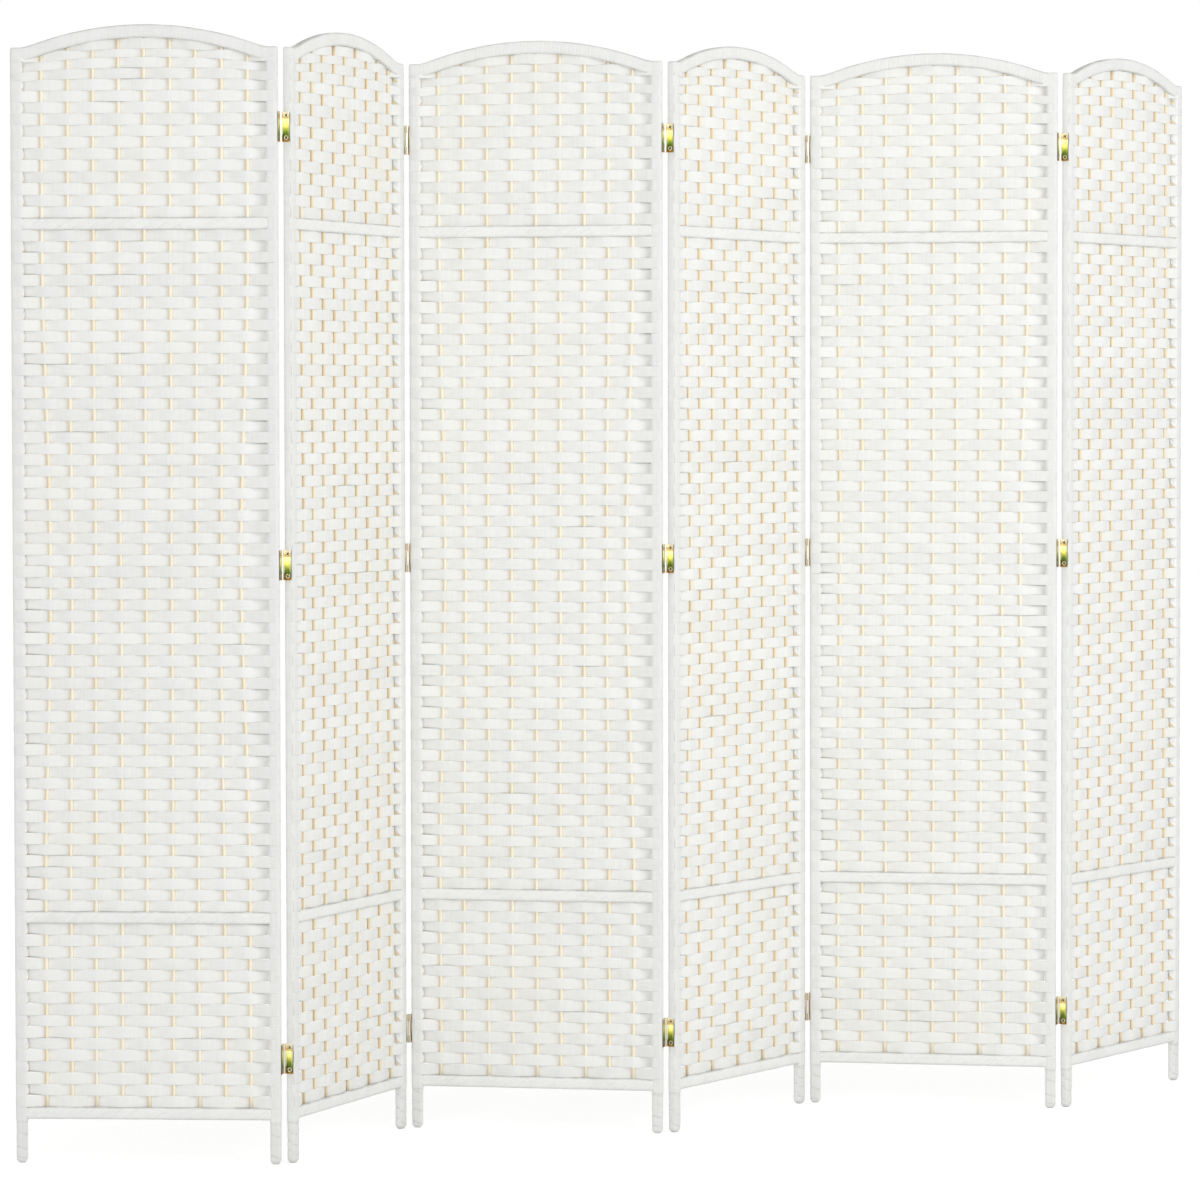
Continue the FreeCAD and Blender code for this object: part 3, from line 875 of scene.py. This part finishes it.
rails = {
    "sides": 20,
    "steps": 150,
    "squareness": 7.0,
    "wind": 0.047,         # along the rail in one turn of the winding
    "lump": 0.00035,
    "wobble": 0.0006,
    "inset": 0.0001,       # the cover within the rail's depth
    "intoPost": 0.0080,    # the ends run a little way into the wrap of the posts
    "flare": 0.0140,       # over which the cover widens to the post's depth
    "sink": 0.0012,        # how far its ends sink into the wrap of the posts
    "slim": 0.0,           # how far the cover stays inside the rail's two edges
    "tone": 0.0,
}
arch = {
    "intoPost": 0.0110,    # the arch's cover is drawn out over the head of the post
    "spring": 0.0090,      # softness of its spring from there
    "headGap": 0.0006,     # its level ends below the post's top
    "flare": 0.0300,
    "sink": 0.0,
    "slim": 0.0002,
    "tone": 0.2,
}


def railSizes(panel, middleUp, height):
    fullDepth = screen["postDepth"] - posts["coverInset"] * 2
    return treeSizes(panel, "railWrap", rails,
                     {"middleUp": middleUp, "height": height, "fullDepth": fullDepth,
                      "railSeed": panel * 10.0 + middleUp})


def archSizes(panel):
    sizes = railSizes(panel, 0.0, screen["topRailHeight"])
    sizes.update(arch, postTop=postTop, material=materials["archWrap"])
    return sizes


def railTree(sizes):
    arched = "spring" in sizes
    make, size = newTree("woundArch" if arched else "woundRail", sizes)
    tube = closedTube(make, size)
    upPart, throughPart, alongPart = pointPlace(make)
    push, angle = squareSection(size, upPart, throughPart)
    start = size.postWidth - size.intoPost
    along = start + (alongPart + 0.5) * (size.width - start * 2.0)
    drift = make.noise(make.vector(along, size.railSeed, 0.0), 14.0, 1.0) * 2.2
    wind = (along / size.wind + angle * 0.5 + drift).math("FRACT")
    slack = size.lump * (1.0 - (wind * math.pi).math("SINE") ** 0.25)
    wobble = make.noise(make.vector(along, angle * 0.1, size.railSeed), 30.0) - 0.5
    rise = -upPart * push
    outward = rise * (size.height / 2 - size.slim - slack + wobble * size.wobble)
    aside = abs(along - size.width / 2)
    fromPost = size.width / 2 - size.postWidth - aside
    flare = 1.0 - make.smooth(fromPost, 0.0, size.flare)
    halfDepth = size.railDepth / 2 - slack - size.inset
    halfDepth = halfDepth + flare * (size.fullDepth - size.railDepth) / 2
    halfDepth = halfDepth - make.smooth(-fromPost, 0.0004, 0.0070) * size.sink
    deep = size.postDepth / 2 + throughPart * push * halfDepth
    # painted shade along the rail's top edge and, weaker, along its bottom edge
    dark = make.smooth(rise, 0.8, 0.97) + make.smooth(rise, -0.9, -1.0) * 0.5
    up = size.middleUp + outward
    if arched:
        # between two arcs of one centre, drawn out level at the posts
        reach = size.archRadius - size.height / 2 + outward
        curve = size.archCentre + (reach * reach - aside * aside).math("SQRT")
        head = size.postTop - size.headGap - size.height / 2 + outward
        up = curve.math("SMOOTH_MAX", head, size.spring)
        dark = dark * make.smooth(fromPost, -0.009, -0.002)
    marked = keep(make, tube, wrapShade=size.tone, darkEdge=dark)
    return finishTree(make, size, marked, along, deep, up)


def archTree(sizes):
    # a tree of its own, with the arch's further inputs
    return railTree(sizes)


for panel in panels:
    for name, low, node in (("bottomRail", bottomRailLow, "bottom_rail"),
                            ("lowerRail", lowerRailLow, "cross_rails"),
                            ("upperRail", upperRailLow, "cross_rails")):
        growPiece("%s_%d" % (name, panel), railTree,
                  railSizes(panel, low + railHeight / 2, railHeight),
                  "rail_wrap", "%s_%d" % (node, panel))
    growPiece("archRail_%d" % panel, archTree, archSizes(panel), "rail_wrap",
              "top_rail_%d" % panel)
print("rails wound")

# hinges: leaves with rolled knuckles, pins and screws

hinges = {
    "centres": (0.157, 0.895, 1.546),
    "length": 0.045,
    "thickness": 0.001,
    "pinFromFace": 0.002,       # pin side face of the post to the pin's axis
    "pinFromEdge": 0.0022,      # edge of the panel to the pin's axis
    "farEdge": 0.0145,          # pin's axis to the far edge of a leaf
    "barrelRadius": 0.0025,
    "boreRadius": 0.00135,
    "centreKnuckle": 0.022,
    "knuckleGap": 0.0003,
    "rollGap": 0.16,            # how far the roll stays open, in radians
    "boreLap": 0.35,            # where its inside meets the plate again
    "arcSteps": 22,
    "cornerRadius": 0.0014,
    "cornerSteps": 6,
    "plateStart": 0.0030,       # pin's axis to where the plate leaves the knuckles
    "edgeSoftness": 0.00012,
    "weld": 0.00001,            # joins the plate's faces to its edges
    "screwPitch": 0.033,
    "screwHole": 0.0021,
    "holeSides": 20,
    "pinRadius": 0.0013,
    "pinSides": 24,
    "pinEase": 0.3,             # of its radius
    "sharpAngle": 35,
}
hinges["plateMiddle"] = (hinges["farEdge"] + hinges["plateStart"]) / 2
hinged = [edge for edge in edges if "hinge_leaves_%d_%s" % edge in frame["nodes"]]


def zincPlate():
    # yellow passivated zinc: gold, brown, green and pale yellow up a leaf, partly the film's own
    # colours and partly painted reflection, and a pale barrel whose browner sides are painted
    # reflection
    make = newMaterial("hingeZinc")
    place = make.mark("leafPlace", "Vector")
    across, deep, up = make.split(place)
    cloud = make.grain(place, (230.0, 460.0, 230.0)) - 0.5
    scratch = make.grain(place, (900.0, 900.0, 90.0))
    filmAndReflection = make.ramp(
        up / hinges["length"] + 0.5 + cloud * 0.16,
        (0.0, (206, 150, 62)), (0.07, (120, 96, 44)), (0.2, (112, 128, 58)),
        (0.33, (158, 176, 88)), (0.46, (214, 212, 124)), (0.58, (246, 244, 160)),
        (0.72, (252, 250, 204)), (0.83, (236, 194, 108)), (0.94, (246, 236, 210)))
    # painted dark reflection along the leaf's far edge
    farSide = make.smooth(-deep, hinges["farEdge"] - 0.0006, hinges["farEdge"] - 0.0002)
    filmAndReflection = make.blend(farSide, filmAndReflection, colour(96, 86, 62))
    # painted reflection on the barrel: pale, browner towards its sides
    outer = make.blend(make.smooth(abs(across), 0.0009, 0.0021),
                       colour(240, 228, 224), colour(196, 176, 138))
    barrel = make.blend(make.smooth(deep + cloud * 0.001, -0.0008, 0.0002),
                        colour(238, 236, 224), outer)
    onBarrel = make.smooth(deep, -hinges["plateStart"], -hinges["plateStart"] + 0.0004)
    finishMaterial(make, make.blend(onBarrel, filmAndReflection, barrel), scratch * 0.2 + 0.24,
                   scratch, 0.25, 0.0001, 1.0)


def screwZinc():
    # the same plating on the screws, with painted shade in the driver's recess and round the head's
    # rim
    make = newMaterial("screwZinc")
    place = make.add("ShaderNodeTexCoord", None, None, out="Object")
    cloud = make.noise(place, 420.0)
    base = make.ramp(cloud, (0.3, (224, 202, 150)), (0.5, (252, 246, 216)),
                     (0.7, (232, 232, 186)))
    base = make.blend(make.mark("recess"), base, colour(46, 38, 24))
    finishMaterial(make, base, cloud * 0.2 + 0.2, cloud, 0.2, 0.0001, 1.0)


def pinSteel():
    # drawn steel pins, a little grey in their knuckles
    make = newMaterial("hingePin")
    place = make.add("ShaderNodeTexCoord", None, None, out="Object")
    drawn = make.grain(place, (900.0, 900.0, 60.0))
    base = make.blend(drawn, colour(150, 146, 136), colour(206, 200, 184))
    finishMaterial(make, base, drawn * 0.2 + 0.25, drawn, 0.2, 0.0001, 1.0)


def ringOutline(centre, radius, steps, first=0.0, span=math.tau):
    # points on a circle or on a part of it
    turns = [first + span * step / steps for step in range(steps + (span != math.tau))]
    return [(centre[0] + radius * math.cos(turn), centre[1] + radius * math.sin(turn))
            for turn in turns]


def leafOutline():
    # far corners rounded, near edge straight; along the leaf's width, then its length
    radius, near, end = hinges["cornerRadius"], hinges["plateStart"], hinges["length"] / 2
    points = [(near, -end)]
    for side, first in ((-1, -math.pi / 2), (1, 0.0)):
        centre = (hinges["farEdge"] - radius, side * (end - radius))
        points += ringOutline(centre, radius, hinges["cornerSteps"], first, math.pi / 2)
    return points + [(near, end)]


def plateMesh():
    # a pressed plate with two screw holes and softened edges
    curve = bpy.data.curves.new("leafPlate", "CURVE")
    curve.dimensions = "2D"
    curve.fill_mode = "BOTH"
    soft = hinges["edgeSoftness"]
    curve.extrude = hinges["thickness"] / 2 - soft
    curve.bevel_depth = soft
    curve.bevel_resolution = 1
    curve.offset = -soft
    outlines = [leafOutline()]
    for side in (-1, 1):
        outlines.append(ringOutline((hinges["plateMiddle"], side * hinges["screwPitch"] / 2),
                                    hinges["screwHole"], hinges["holeSides"]))
    for outline in outlines:
        spline = curve.splines.new("POLY")
        spline.points.add(len(outline) - 1)
        for point, (across, up) in zip(spline.points, outline):
            point.co = (across, up, 0, 1)
        spline.use_cyclic_u = True
    holder = bpy.data.objects.new("leafPlate", curve)
    scene.collection.objects.link(holder)
    graph = bpy.context.evaluated_depsgraph_get()
    mesh = bpy.data.meshes.new_from_object(holder.evaluated_get(graph), depsgraph=graph)
    bpy.data.objects.remove(holder)
    return mesh


def knuckleProfile():
    # the leaf's edge rolled round the pin, open by a hair where it meets the plate again
    outer, bore = hinges["barrelRadius"], hinges["boreRadius"]
    postFace = hinges["pinFromEdge"]
    freeFace = postFace - hinges["thickness"]
    start = -math.acos(postFace / outer)
    stop = math.tau - math.acos(freeFace / outer) - hinges["rollGap"]
    back = start + hinges["boreLap"] - stop
    outside = ringOutline((0.0, 0.0), outer, hinges["arcSteps"], start, stop - start)
    inside = ringOutline((0.0, 0.0), bore, hinges["arcSteps"], stop, back)
    return ([(postFace, -hinges["plateStart"])] + outside + inside
            + [(freeFace, -math.sqrt(outer ** 2 - freeFace ** 2)), (freeFace, -hinges["plateStart"])])


def addRings(build, sections):
    # closes outlines of as many points each, at their heights, into one solid
    rings = [[build.verts.new((across, deep, height)) for across, deep in outline]
             for height, outline in sections]
    for lower, upper in zip(rings, rings[1:]):
        for i in range(len(lower)):
            following = (i + 1) % len(lower)
            build.faces.new((lower[i], lower[following], upper[following], upper[i]))
    build.faces.new(list(reversed(rings[0])))
    build.faces.new(rings[-1])


def finishMesh(build, name):
    mesh = bpy.data.meshes.new(name)
    build.to_mesh(mesh)
    build.free()
    return mesh


def leafMesh(centred):
    # one leaf about its pin: post face at +X, plate towards -Y
    build = bmesh.new()
    plate = plateMesh()
    build.from_mesh(plate)
    bpy.data.meshes.remove(plate)
    middle = hinges["pinFromEdge"] - hinges["thickness"] / 2
    turned = Matrix(((0, 0, 1, middle), (-1, 0, 0, 0), (0, 1, 0, 0), (0, 0, 0, 1)))
    bmesh.ops.transform(build, matrix=turned, verts=build.verts)
    bmesh.ops.remove_doubles(build, verts=build.verts, dist=hinges["weld"])
    half, core = hinges["length"] / 2, hinges["centreKnuckle"] / 2
    outer = core + hinges["knuckleGap"]
    for low, high in [(-core, core)] if centred else [(-half, -outer), (outer, half)]:
        addRings(build, [(low, knuckleProfile()), (high, knuckleProfile())])
    place = build.verts.layers.float_vector.new("leafPlace")
    for vert in build.verts:
        vert[place] = vert.co
    bmesh.ops.recalc_face_normals(build, faces=build.faces)
    return finishMesh(build, "leaf")


def pinMesh():
    # a drawn pin with eased ends
    build = bmesh.new()
    radius, half = hinges["pinRadius"], hinges["length"] / 2
    ease = radius * hinges["pinEase"]
    addRings(build, [(height, ringOutline((0.0, 0.0), reach, hinges["pinSides"]))
                     for height, reach in ((-half, radius - ease), (-half + ease, radius),
                                           (half - ease, radius), (half, radius - ease))])
    return finishMesh(build, "pin")


def pinPlace(panel, onRight):
    # the pins' axis at one edge of a panel, in the panel's own frame, and the leaf's mirrors
    joint = panel if onRight else panel - 1
    atBack = joint % 2 == 1
    across = screen["width"] + hinges["pinFromEdge"] if onRight else -hinges["pinFromEdge"]
    deep = screen["postDepth"] + hinges["pinFromFace"] if atBack else -hinges["pinFromFace"]
    return across, deep, -1 if onRight else 1, 1 if atBack else -1


def threeCopies(name, source, panel, onRight, material, node):
    # one copy of a hinge's mesh at each of its three heights
    origin, turn = panelOrigin(panel)
    across, deep, mirrorX, mirrorY = pinPlace(panel, onRight)
    stand = Matrix.Translation(origin) @ Matrix.Rotation(turn, 4, "Z")
    mirror = Matrix.Diagonal((mirrorX, mirrorY, 1, 1))
    build = bmesh.new()
    for height in hinges["centres"]:
        before = set(build.verts)
        build.from_mesh(source)
        added = [vert for vert in build.verts if vert not in before]
        place = stand @ Matrix.Translation((across, deep, height)) @ mirror
        bmesh.ops.transform(build, matrix=place, verts=added)
    if mirrorX * mirrorY < 0:
        bmesh.ops.reverse_faces(build, faces=build.faces)
    mesh = finishMesh(build, name)
    for face in mesh.polygons:
        face.use_smooth = True
    mesh.set_sharp_from_angle(angle=math.radians(hinges["sharpAngle"]))
    mesh.materials.append(materials[material])
    piece = bpy.data.objects.new(name, mesh)
    scene.collection.objects.link(piece)
    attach(piece, "panel_%d" % panel)
    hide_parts(node)


screws = {
    "count": 6,             # two at each of a panel edge's three hinges
    "sides": 20,
    "rings": 6,
    "headRadius": 0.0038,
    "dome": 0.0005,
    "sunk": 0.0007,         # the head's skirt runs into the leaf
    "recessWide": 0.2,      # of the head's radius
    "recessLong": 0.62,
    "recessDeep": 0.0006,
    "rimShade": 0.45,
}


def screwSizes(panel, side):
    across, deep, mirrorX, mirrorY = pinPlace(panel, side == "right")
    face = hinges["pinFromEdge"] - hinges["thickness"]
    low, middle, high = hinges["centres"]
    return treeSizes(panel, "screwZinc", screws, {
        "faceAcross": across + mirrorX * face,
        "faceDeep": deep - mirrorY * hinges["plateMiddle"],
        "outward": -float(mirrorX),
        "low": low,
        "middle": middle,
        "high": high,
        "screwPitch": hinges["screwPitch"],
    })


def screwTree(sizes):
    make, size = newTree("countersunkScrews", sizes)
    number = make.add("GeometryNodeInputIndex")
    hinge = (number / 2.0).math("FLOOR")
    height = size.low + (size.middle - size.low) * hinge.math("MINIMUM", 1.0)
    height = height + (size.high - size.middle) * (hinge - 1.0).math("MAXIMUM", 0.0)
    height = height + (number.math("MODULO", 2.0) - 0.5) * size.screwPitch
    points = pointsWith(make, size.count, height=height,
                        turned=randomValue(make, size, 0.0, 1.5, number))
    disc = make.add("GeometryNodeMeshCylinder", {"fill_type": "TRIANGLE_FAN"},
                    {"Vertices": size.sides, "Side Segments": 2, "Fill Segments": size.rings,
                     "Radius": 1.0, "Depth": 1.0})
    solid = copiesOn(make, [points], disc)
    first, second, level = pointPlace(make)
    reach = (first * first + second * second).math("SQRT")
    narrow = abs(first).math("MINIMUM", abs(second))
    upper = level > 0.49
    slot = make.smooth(narrow, size.recessWide * 1.3, size.recessWide * 0.7)
    slot = slot * make.smooth(reach, size.recessLong * 1.15, size.recessLong) * upper
    top = size.dome * (1.0 - reach * reach * 0.7) - slot * size.recessDeep
    out = upper * top - (1.0 - upper) * (0.5 - level) * size.sunk
    narrowed = 1.0 - (0.5 - level) * 0.3
    turned = kept(make, "turned")
    cosine, sine = turned.math("COSINE"), turned.math("SINE")
    aside = (first * cosine - second * sine) * size.headRadius * narrowed
    rise = (first * sine + second * cosine) * size.headRadius * narrowed
    rim = make.smooth(reach, 0.86, 0.98) * size.rimShade
    # painted shade in the driver's recess and round the rim
    marked = keep(make, solid, recess=slot.math("MAXIMUM", rim))
    return finishTree(make, size, marked, size.faceAcross + size.outward * out,
                      size.faceDeep + size.outward * aside, kept(make, "height") + rise)


zincPlate()
screwZinc()
pinSteel()
leaves = [leafMesh(False), leafMesh(True)]      # the centre knuckle is on panels 1, 3 and 5
for panel, side in hinged:
    threeCopies("hingeLeaves_%d_%s" % (panel, side), leaves[panel % 2], panel, side == "right",
                "hingeZinc", "hinge_leaves_%d_%s" % (panel, side))
pin = pinMesh()
for joint in range(1, panelCount):
    holder = joint + joint % 2
    number = "%d%d" % (joint, joint + 1)
    threeCopies("hingePins_" + number, pin, holder, holder == joint, "hingePin",
                "hinge_pins_" + number)
for panel, side in hinged:
    growPiece("hingeScrews_%d_%s" % (panel, side), screwTree, screwSizes(panel, side), "hinge_zinc")
print("hinges hung")

# floor, light and camera

studio = {
    "floorSize": 40.0,
    "floorColour": colour(232, 232, 232),
    "floorGlow": 0.42,      # for the camera only, which brings the floor up to white
    "white": (1, 1, 1, 1),
    "ambient": 0.75,
    "aim": (0, 0, 0.9),
    "key": {"place": (1.2, -3.5, 2.0), "power": 43.0, "size": 2.4},
    "fill": {"place": (-6.0, -6.0, 1.6), "power": 82.0, "size": 2.6},
}
camera = {
    "place": (-3.486, -6.960, 1.118),
    "pitch": 87.86,
    "turn": -26.05,
    "roll": -0.08,
    "lens": 148.69,
    "sensor": 36.0,
    "farthest": 200.0,
}


def makeFloor():
    mesh = bpy.data.meshes.new("floor")
    half = studio["floorSize"] / 2
    corners = [(-half, -half, 0), (half, -half, 0), (half, half, 0), (-half, half, 0)]
    mesh.from_pydata(corners, [], [(0, 1, 2, 3)])
    floor = bpy.data.objects.new("floor", mesh)
    scene.collection.objects.link(floor)
    make = newMaterial("paleFloor")
    ray = make.add("ShaderNodeLightPath", None, None, out="Is Camera Ray")
    glow = make.add("ShaderNodeEmission", None,
                    {"Color": studio["white"], "Strength": ray * studio["floorGlow"]})
    matt = make.add("ShaderNodeBsdfDiffuse", None, {"Color": studio["floorColour"]})
    both = make.add("ShaderNodeAddShader", None, {0: glow, 1: matt})
    make.add("ShaderNodeOutputMaterial", None, {"Surface": both})
    mesh.materials.append(materials["paleFloor"])
    floor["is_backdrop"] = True


def makeWorld():
    # an even light, white where the camera, a gloss or a glass sees it
    world = bpy.data.worlds.new("studio")
    world.use_nodes = True
    world.node_tree.nodes.clear()
    make = Maker(world.node_tree)
    path = make.add("ShaderNodeLightPath", None, None, out="Is Camera Ray")
    seen = path + path.output("Is Glossy Ray") + path.output("Is Transmission Ray")
    light, white = [make.add("ShaderNodeBackground", None,
                             {"Color": studio["white"], "Strength": strength})
                    for strength in (studio["ambient"], 1.0)]
    mixed = make.add("ShaderNodeMixShader", None,
                     {0: seen.math("MINIMUM", 1.0), 1: light, 2: white})
    make.add("ShaderNodeOutputWorld", None, {"Surface": mixed})
    scene.world = world


def makeLamp(name):
    lamp = studio[name]
    data = bpy.data.lights.new(name, "AREA")
    data.energy = lamp["power"]
    data.size = lamp["size"]
    light = bpy.data.objects.new(name, data)
    light.location = lamp["place"]
    aim = Vector(studio["aim"]) - light.location
    light.rotation_euler = aim.to_track_quat("-Z", "Y").to_euler()
    light.visible_camera = False
    scene.collection.objects.link(light)


def makeCamera():
    data = bpy.data.cameras.new("camera")
    data.lens = camera["lens"]
    data.sensor_width = camera["sensor"]
    data.clip_end = camera["farthest"]
    eye = bpy.data.objects.new("camera", data)
    eye.matrix_world = Matrix.Translation(camera["place"])
    for turn, axis in (("turn", "Z"), ("pitch", "X"), ("roll", "Z")):
        eye.matrix_world = eye.matrix_world @ Matrix.Rotation(math.radians(camera[turn]), 4, axis)
    scene.collection.objects.link(eye)
    scene.camera = eye


makeFloor()
makeWorld()
makeLamp("key")
makeLamp("fill")
makeCamera()
scene.view_settings.view_transform = "Standard"
print("stage set")

low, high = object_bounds()
